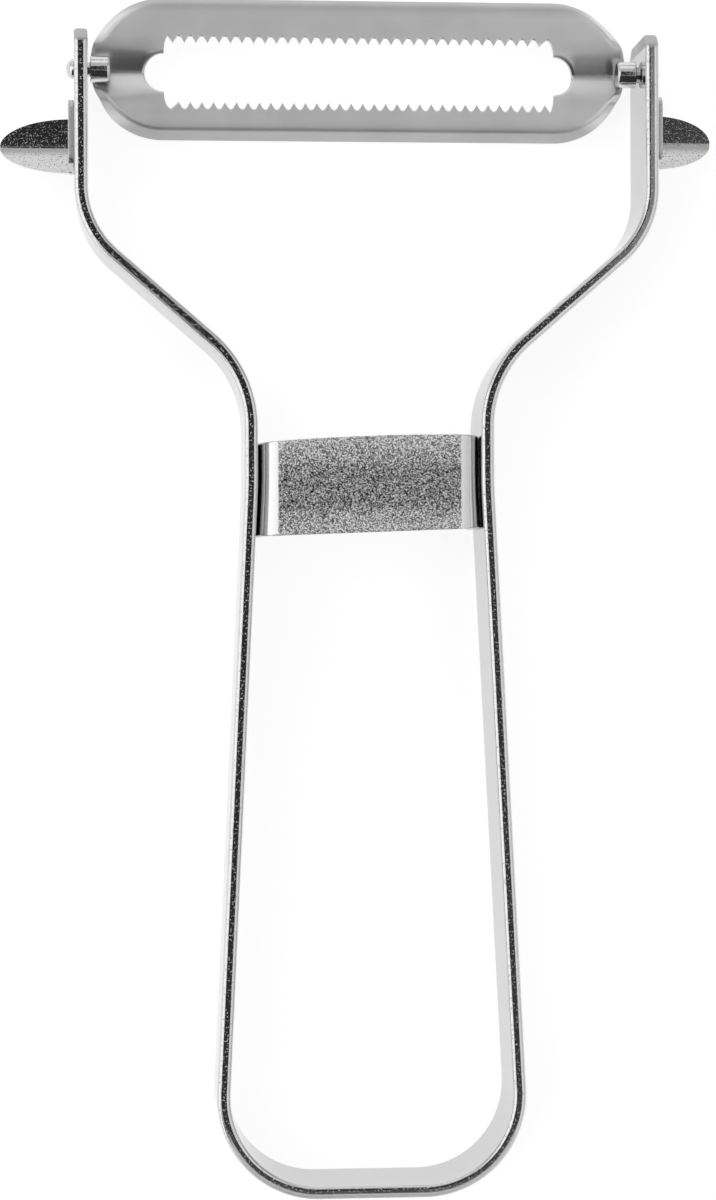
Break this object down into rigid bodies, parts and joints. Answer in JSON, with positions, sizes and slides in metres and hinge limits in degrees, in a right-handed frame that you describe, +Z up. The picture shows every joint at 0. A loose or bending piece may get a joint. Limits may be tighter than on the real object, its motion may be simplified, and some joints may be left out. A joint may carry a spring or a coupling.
{
  "type": "serrated vegetable peeler",
  "caption": "Harp-shaped peeler of bent steel strip with a swivelling slotted blade, teeth on both sides of the slot, a braced neck and a scoop on each arm.",
  "frame": {"origin": "under the middle of the peeler's outline, in the plane that it lies on", "axes": "+X along the blade's swivel line, +Y from the grip's base to the blade, +Z up out of the surface it lies on"},
  "size_m": [0.0822, 0.137, 0.011],
  "materials": {
    "polished_strip": "polished",
    "blasted_plate": "sandblasted",
    "blade_steel": "satin",
    "stud_steel": "polished",
    "gouger_steel": "polished"
  },
  "bodies": {
    "frame": {"handle_strip": "polished_strip", "cross_plate": "blasted_plate", "eye_gouger_left": "gouger_steel", "eye_gouger_right": "gouger_steel"},
    "blade_unit": {"blade": "blade_steel", "pivot_stud_left": "stud_steel", "pivot_stud_right": "stud_steel"}
  },
  "joints": [
    {"name": "blade_swivel", "type": "hinge", "parent": "frame", "child": "blade_unit", "pos_m": [0.0006, 0.05958, 0.0055], "axis": [1, 0, 0], "continuous": true}
  ]
}
